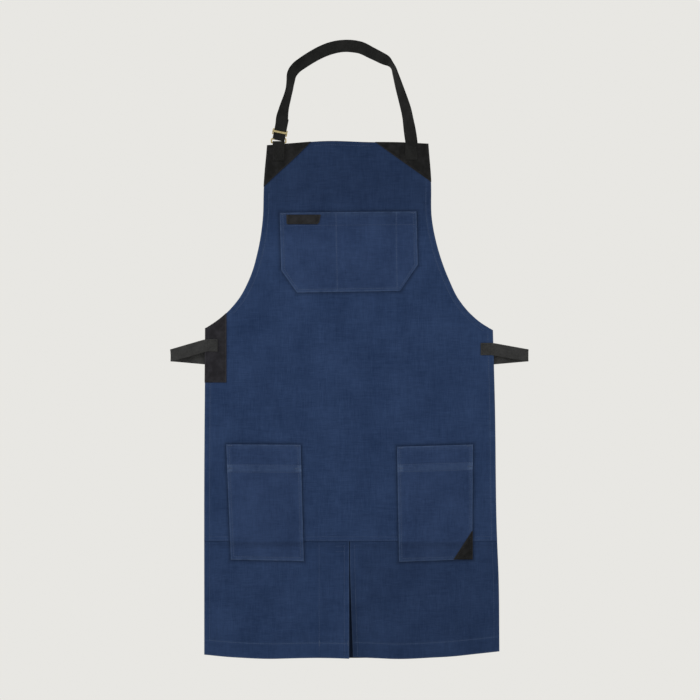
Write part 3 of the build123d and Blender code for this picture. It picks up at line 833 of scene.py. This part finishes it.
# Edges are given by height, and shifts across the apron. A band is the places of two rows of
# stitches below the pocket's top.
bib_seams = [ramp((-495, -25), (-329, -28)), ramp((-484, 98), (-355, 96))]
bib_pocket = Pocket("bib_pocket", -329, -495, ramp((-495, -108), (-449, -140.5), (-329, -144)),
                    ramp((-495, 104), (-439, 141), (-329, 138)), ramp((-144, -1.5), (138, 1.5)),
                    ramp((-108, 0), (106, 3.5)), bib_seams, 2.6, (24, 27))
left_pocket = Pocket("left_pocket", -807.5, -1046.5, ramp((-1047, -244.5), (-807, -254)),
                     ramp((-1047, -94), (-807, -100.5)), ramp((-254, 0.5), (-100, -0.5)),
                     ramp((-245, 1.5), (-94, -1.5)), [], 3.2, (42, 57))
right_pocket = Pocket("right_pocket", -809.5, -1046.5, ramp((-1047, 102), (-807, 97.6)),
                      ramp((-1047, 253), (-807, 254.4)), ramp((97, -2.5), (254, 2)),
                      ramp((102, -3), (253, 2.5)), [], 3.2, (37, 52))
bib_pocket_piece = make_pocket(bib_pocket, (-449, -439))
for pocket in (left_pocket, right_pocket):
    make_pocket(pocket)


def shade_beside(piece, pocket):
    """Darkens the cloth in a soft line beside a pocket's edges, like the shadow seen there."""
    places = np.empty(3 * len(piece.data.vertices), np.float32)
    piece.data.vertices.foreach_get("co", places)
    x, _, z = places.reshape(-1, 3).T / MM
    outside = -np.min(pocket.edges(x, z), axis=0)
    # Painted shadow: lowers the stored painted shade factor beside the pocket.
    layer = piece.data.attributes["painted_shade"]
    values = np.empty(len(x), np.float32)
    layer.data.foreach_get("value", values)
    shade = POCKET_SHADOW * bell(outside - 1, 4.0)
    layer.data.foreach_set("value", (values * (1 - shade)).astype(np.float32))


for pocket in (bib_pocket, left_pocket, right_pocket):
    for piece in (panel, *leg_pieces):
        shade_beside(piece, pocket)


# Black leather
def leather_piece(name, node, high, low, left, right, face, material=leather, top=None, kinks=()):
    """A leather patch on a face of the apron."""
    def wear(x, z):
        return bell(np.minimum(x - left(z), right(z) - x), 1.5)

    piece = cloth(name, material, high, low, left, right, lambda x, z: face(x, z) - LEATHER, LEATHER,
                  step=2.2, kinks=kinks, top=top, wear=wear)
    stands_for(piece, "apron", "label" if material == label_leather else "leather", node)


def flat_face(x, z):
    """The apron's front without its hems, which lie under a patch."""
    return drape(x, z) + FRONT - PATCH_LIFT


LEFT_PATCH_LOW = -277.0
RIGHT_PATCH_LOW = -267.0
WAIST_PATCH_RIGHT = -253.4
WAIST_PATCH_LOW = -680.0
PATCH_OVERHANG = 0.6
left_slant = ramp((LEFT_PATCH_LOW, -177.0), (bib_top, -79.0))
right_slant = ramp((RIGHT_PATCH_LOW, 168.4), (bib_top, 52.5))
for side_name, low, left, right in (
        ("left", LEFT_PATCH_LOW, lambda z: left_armhole(z) - PATCH_OVERHANG, left_slant),
        ("right", RIGHT_PATCH_LOW, right_slant, lambda z: right_armhole(z) + PATCH_OVERHANG)):
    leather_piece(f"bib_corner_leather_{side_name}", f"bib_corner_patch_{side_name}", bib_top, low,
                  left, right, flat_face, top=lambda x: top_edge(x) + 0.5)
leather_piece("waist_leather", "waist_patch_left", -537.0, WAIST_PATCH_LOW,
              lambda z: left_edge(z) - PATCH_OVERHANG, lambda z: WAIST_PATCH_RIGHT + 0 * z,
              flat_face, waist_patch_leather, kinks=(LEFT_CORNER,))
leather_piece("pocket_corner_leather", "pocket_corner_patch", -986.0, -1044.6,
              ramp((-1044.6, 214), (-986, 252)), lambda z: 254.0 + 0 * z, right_pocket.face)
leather_piece("blank_label", "label_patch", -334.5, -354.5,
              ramp((-354.5, -128), (-352, -129.6), (-334.5, -130)),
              ramp((-354.5, -66), (-350, -62), (-336, -59), (-334.5, -60)), bib_pocket.face,
              label_leather, kinks=(-352, -350, -336))

# Stitching of the front panel, its patches, and the pockets
panel_thread, pocket_thread, patch_thread = Thread(), Thread(), Thread()
panel_thread.line(beside(left_side, WAIST_PATCH_LOW, cross_seam + 3, SIDE_HEM), panel_face)
panel_thread.line(beside(right_side, RIGHT_CORNER - 10, cross_seam + 3, -SIDE_HEM), panel_face)
panel_thread.line(beside(left_armhole, -290, -530, SIDE_HEM), panel_face)
panel_thread.line(beside(right_armhole, -280, RIGHT_CORNER + 8, -SIDE_HEM), panel_face)
panel_thread.line([(x, bib_top + float(top_edge(x)) - TOP_HEM) for x in np.arange(-72, 50, 4.0)], panel_face)
for start, end in ((-289, -250), (-90, 98), (258, 293)):
    for up in (SEAM_LAP, 2.5):
        panel_thread.line(straight((start, cross_seam + up), (end, cross_seam + up)), panel_face)

for pocket, *corners in (
        (bib_pocket, (-137.5, -334), (-134, -447), (-105.5, -488.5), (103, -485.5), (134.5, -437),
         (131.5, -331)),
        (left_pocket, (-248, -812), (-238.7, -1038.5), (-100.2, -1041), (-106.5, -812)),
        (right_pocket, (103.5, -816), (107.8, -1042.5), (213, -1039)),
        (right_pocket, (248.2, -984), (248.3, -812))):
    pocket_thread.line(straight(*corners), pocket.face)
for pocket in (bib_pocket, left_pocket, right_pocket):
    ends = (float(pocket.left(pocket.high)) + 2, float(pocket.right(pocket.high)) - 2)
    for below in pocket.band:
        if pocket is bib_pocket and below == pocket.band[0]:
            continue
        row = [(x, pocket.high + float(pocket.top(x)) - below) for x in np.linspace(*ends, 40)]
        pocket_thread.line(row, pocket.face)
    for seam in pocket.seams:
        z = np.linspace(pocket.high - 3, pocket.low + 8, 40)
        pocket_thread.line(np.stack([seam(z), z], 1), pocket.face)
    tack = 9
    for x in (ends[0] + 1, ends[1] - 1 - tack):
        for below in ((2.5,) if pocket is bib_pocket else (2.5, sum(pocket.band) / 2)):
            z = pocket.high + float(pocket.top(x)) - below
            pocket_thread.bar((x, z), (x + tack, z), pocket.face)


for face, *corners in (
        (flat_face, (-86, -190), (-171, -268)),
        (flat_face, (-166.5, -197), (-172, -262)),
        (flat_face, (62, -190), (163.5, -259)),
        (flat_face, (158.5, -194), (164, -252)),
        (flat_face, (-257.5, -546), (-257.5, -676), (-294, -676)),
        (right_pocket.face, (249, -998), (249.6, -1041), (221, -1041.5), (247, -999)),
        (bib_pocket.face, (-127, -337.5), (-63, -337.5), (-66, -351.5), (-127, -351.5), (-127, -338))):
    patch_thread.line(straight(*corners), lambda x, z, face=face: face(x, z) - LEATHER)
for name, thread, material in (("panel_stitching", panel_thread, blue_thread),
                               ("pocket_stitching", pocket_thread, blue_thread),
                               ("patch_stitching", patch_thread, black_thread)):
    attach(thread.make(name, material), "apron")

for side_name, side in (("left", -1), ("right", 1)):
    thread = Thread()

    def face(x, z, side=side):
        return leg_face(side, x, z)

    shift = hem_shift(side)
    ends = (-289, -3) if side < 0 else (12, 298)
    thread.line([(x, hem + float(shift(x)) + HEM_STITCH) for x in np.linspace(*ends, 60)], face)
    outer, inward = (left_side, SIDE_HEM) if side < 0 else (right_side, -SIDE_HEM)
    thread.line(beside(outer, cross_seam - 3, hem + HEM_STITCH + 6, inward), face)
    rows = (SLIT_STITCH, SLIT_FACING) if side < 0 else (SLIT_STITCH,)
    for distance in rows:
        z = np.linspace(cross_seam - 8, hem + 6, 50)
        thread.line(np.stack([slit_edge(side, z) + side * distance, z], 1), face)
    if side < 0:
        for down in (10, 21):
            thread.line(straight((-28, cross_seam - down), (-11, cross_seam - down)), face)
        for x in (-3, -62):
            thread.bar((x, hem + HEM_STITCH - 4), (x, hem + HEM_STITCH + 6), face)
    leg_blend(thread.make(f"{side_name}_leg_stitching", blue_thread))

# Neck strap: round the ring's upper bar, over the neck and down to its foot on the bib
ring_low, ring_high = box_mm("neck_ring")
ring_middle = (ring_low + ring_high) / 2
WIRE = 3.0
LEAN = math.radians(11.3)
lean_along = np.array([math.sin(LEAN), 0, math.cos(LEAN)])
lean_across = np.array([math.cos(LEAN), 0, -math.sin(LEAN)])
ring_bar = np.array([ring_middle.x, ring_middle.y, ring_high.z - WIRE / 2])
EYE = 2.55  # radius of the webbing's middle round a bar
HALF_APART = 0.85  # half the distance between two layers of webbing
patch_front = FRONT - PATCH_LIFT - LEATHER
on_patch = patch_front - WEBBING / 2


def on_run(up, back):
    """A place on the strap's left run, up from the ring's bar and behind it."""
    return ring_bar + lean_along * up + np.array([0, back, 0])


strap_points = [on_run(43, HALF_APART), on_run(30, HALF_APART), on_run(11, HALF_APART), on_run(6, 1.2),
                on_run(2, 2.3), on_run(-1.8, 1.8), on_run(-EYE, 0), on_run(-1.8, -1.8), on_run(2, -2.3),
                on_run(6, -1.2), on_run(11, -HALF_APART), on_run(30, -HALF_APART)]
over_neck = [(-138.5, -133), (-134.0, -112), (-128.4, -93), (-124.0, -76), (-121.5, -60),
             (-118.5, -44), (-109.0, -31), (-97.0, -22), (-80.0, -11), (-60.0, 0), (-40.0, 8),
             (-20.0, 12.5), (0.0, 13.2), (23.7, 9.3), (45.0, -1), (63.0, -10), (80.0, -19.5),
             (89.5, -30), (95.0, -46), (103.0, -73), (111.0, -99), (117.4, -122), (121.6, -145),
             (125.0, -167)]
FOOT_X = 127.5
FOOT_LOW = -221.5
strap_points += [np.array([x, ring_middle.y - HALF_APART, z]) for x, z in over_neck]
strap_points += [np.array([FOOT_X, y, z])
                 for y, z in ((-1.9, -186.0), (-2.7, -194.0), (on_patch, FOOT_LOW))]
strap = smooth_path(strap_points, 1.6)
place = travelled(strap)
from_arch = place - place[int(np.argmax(strap[:, 2]))]
# How far the webbing is turned about its own line, in degrees, by distance from the arch's top
turn = through((-300, 0), (-234, 0), (-206, 38), (-187, 50), (-170, 56), (-154, 55), (-138, 46),
               (-120, 34), (-105, 28), (-62, 20), (-30, 8), (0, 0), (24, 16), (68, 32), (87, 40),
               (103, 70), (122, 66), (147, 55), (173, 45), (197, 36), (221, 30), (244, 12), (258, 0),
               (300, 0))
angle = np.radians(turn(from_arch))[:, None]
along = unit(np.gradient(strap, axis=0))
inward = np.stack([along[:, 2], 0 * along[:, 0], -along[:, 0]], 1)
inward = unit(np.where((place < 120)[:, None], lean_across, inward))
neck_strap = ribbon("neck_strap_webbing", strap,
                    inward * np.cos(angle) + np.array([0, 1, 0]) * np.sin(angle), neck_webbing)
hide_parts("neck_strap", "neck_strap_foot")
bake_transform(neck_strap)

# Anchor tab: webbing over the ring's lower bar, sewn to both faces of the bib's corner
tab_middle = ring_middle.x
TAB_BACK = 2.4
TAB_LOW = -223.5
tab_points = [(on_patch, TAB_LOW), (on_patch, -205), (on_patch, -192), (-2.75, -187), (-1.9, -184.3),
              (-0.2, -183.45), (1.5, -184.3), (2.35, -187), (TAB_BACK, -192), (TAB_BACK, -205),
              (TAB_BACK, TAB_LOW)]
tab = smooth_path([(tab_middle, y, z) for y, z in tab_points])
anchor_tab = ribbon("neck_tab_webbing", tab, np.tile([1.0, 0, 0], (len(tab), 1)), neck_webbing, width=24.6)
stands_for(anchor_tab, "apron", "webbing", "neck_anchor_tab")

webbing_thread = Thread()


def sew_box(near, far, high, low, surface):
    """A square of stitches with a cross in it, on webbing."""
    around = ((near, high), (far, high), (far, low), (near, low), (near, high), (far, low))
    for corners in (around, ((far, high), (near, low))):
        webbing_thread.line(straight(*corners), surface)


for x in (tab_middle, FOOT_X):
    sew_box(x - 9.5, x + 9.5, -196, -220, lambda x, z: on_patch - WEBBING / 2 + 0 * x)

# Waist straps: sewn at each side, out to a fold, and back behind to the buckle. Each side has
# the place of its sewn end, the distances of the buckle's bar and of the tail from the fold,
# and how far the sewn end stands in front of the panel.
SLOPE = math.radians(5)
FOLD_X = pivots["waist_right_swing"].x
FOLD_Z = pivots["waist_right_swing"].z
BACK = 5.8
BACK_TAIL = 7.42
for side_name, side, tab_x, tab_z, bar_place, tail_from, lead in (
        ("left", -1, 271.5, -603.5, 328, 294, 1.5), ("right", 1, 270.0, -611.0, 306, 118, 0.3)):
    front = FRONT - lead - WEBBING / 2
    reach = FOLD_X - tab_x - 24
    fall = math.atan2(tab_z - FOLD_Z, reach)
    rows = [(tab_x + distance, float(drape(side * (tab_x + distance), tab_z)) + front, tab_z, 0)
            for distance in (0, 12, 22)]
    for part, forward in ((0.12, 0), (0.3, 0), (0.6, 0), (0.85, 0), (0.95, 0.5)):
        x = tab_x + 24 + reach * part
        rows.append((x, front + forward, tab_z + (FOLD_Z - tab_z) * part, fall))
    rows += [(FOLD_X + 1.2, front + 2.0, FOLD_Z, fall / 2), (FOLD_X + 2.0, (front + BACK) / 2, FOLD_Z, 0),
             (FOLD_X + 1.2, BACK - 1.4, FOLD_Z, -SLOPE)]
    behind = [(5, BACK), (40, BACK), (bar_place / 2, BACK), (bar_place - 30, BACK), (bar_place - 9, BACK),
              (bar_place - 4, 5.0), (bar_place - 1, 4.1), (bar_place + 1.8, 4.8), (bar_place + 2.65, 6.6),
              (bar_place + 1.8, 8.4), (bar_place - 1, 9.1), (bar_place - 4, 8.2), (bar_place - 9, BACK_TAIL),
              (bar_place - 20, BACK_TAIL), ((bar_place + tail_from) / 2, BACK_TAIL), (tail_from, BACK_TAIL)]
    rows += [(FOLD_X - distance * math.cos(SLOPE), y, FOLD_Z - distance * math.sin(SLOPE), -SLOPE)
             for distance, y in behind]
    path = smooth_path([(side * x, y, z, tilt) for x, y, z, tilt in rows], 1.8)
    tilt = path[:, 3]
    across = np.stack([side * np.sin(tilt), 0 * tilt, np.cos(tilt)], 1)
    strap_piece = ribbon(f"waist_strap_{side_name}_webbing", path[:, :3], across, webbing)
    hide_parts(f"waist_strap_{side_name}_end", f"waist_strap_{side_name}")
    x = side * FOLD_X * MM
    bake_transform(strap_piece)

    def strap_face(x, z, front=front):
        return drape(x, z) + front - WEBBING / 2

    sew_box(side * (tab_x + 3), side * (tab_x + 21), tab_z + 10, tab_z - 10, strap_face)
    back_thread = Thread()
    for distance in (bar_place - 12, tail_from + 5):
        x, z = side * (FOLD_X - distance * math.cos(SLOPE)), FOLD_Z - distance * math.sin(SLOPE)
        back_thread.bar((x, z - 10), (x, z + 10), lambda x, z: BACK_TAIL + WEBBING / 2 + 0 * x, facing=1)
    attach(back_thread.make(f"waist_{side_name}_stitching", black_thread), f"waist_{side_name}")
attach(webbing_thread.make("webbing_stitching", black_thread), "apron")

# CAD nodes that show as they are
PLASTIC_NODES = ("buckle_female", "buckle_male", "buckle_arm_upper", "buckle_arm_lower", "waist_slider")
for names, material in ((("neck_ring", "neck_slider"), brass), (PLASTIC_NODES, plastic)):
    for name in names:
        node = frame["nodes"][name]
        node.data.materials.clear()
        node.data.materials.append(material)

# Floor, light and camera
FLOOR_Z = -1.55
FLOOR_RADIUS = 1.1
PALE = (0.807, 0.798, 0.767)
bpy.ops.mesh.primitive_circle_add(vertices=96, radius=FLOOR_RADIUS, fill_type="NGON",
                                  location=(0, 0, FLOOR_Z))
floor = bpy.context.object
floor.name = "floor"
pale = Nodes("pale_floor", 0.9, specular=0.1)
pale.colour(pale.mix(pale.noise(3), (0.76, 0.75, 0.72), (0.80, 0.79, 0.76)))
floor.data.materials.append(pale.material)

world = bpy.data.worlds.new("studio")
world.use_nodes = True
background = world.node_tree.nodes["Background"].inputs
background["Color"].default_value = (*PALE, 1)
background["Strength"].default_value = 1.0
scene = bpy.context.scene
scene.world = world
scene.view_settings.view_transform = "Standard"


def area_light(name, place, target, size, power):
    """A square area light that faces a target."""
    light = bpy.data.lights.new(name, "AREA")
    light.size = size
    light.energy = power
    lamp = bpy.data.objects.new(name, light)
    lamp.location = place
    lamp.rotation_euler = (Vector(target) - Vector(place)).to_track_quat("-Z", "Y").to_euler()
    scene.collection.objects.link(lamp)


TARGET = (0, 0, -0.6)
area_light("key_light", (-1.9, -1.6, 0.9), TARGET, 0.9, 26)
area_light("fill_light", (2.2, -2.2, -0.2), TARGET, 1.6, 8)
area_light("back_light", (1.6, 2.4, 0.8), TARGET, 1.2, 20)

FRAME_WIDTH = 1.442
LENS = 100.0
SENSOR = 36.0
camera = bpy.data.objects.new("camera", bpy.data.cameras.new("camera"))
camera.data.lens = LENS
camera.data.sensor_width = SENSOR
camera.location = (0.001, -FRAME_WIDTH * LENS / SENSOR, -0.613)
camera.rotation_euler = (math.pi / 2, 0, 0)
scene.collection.objects.link(camera)
scene.camera = camera
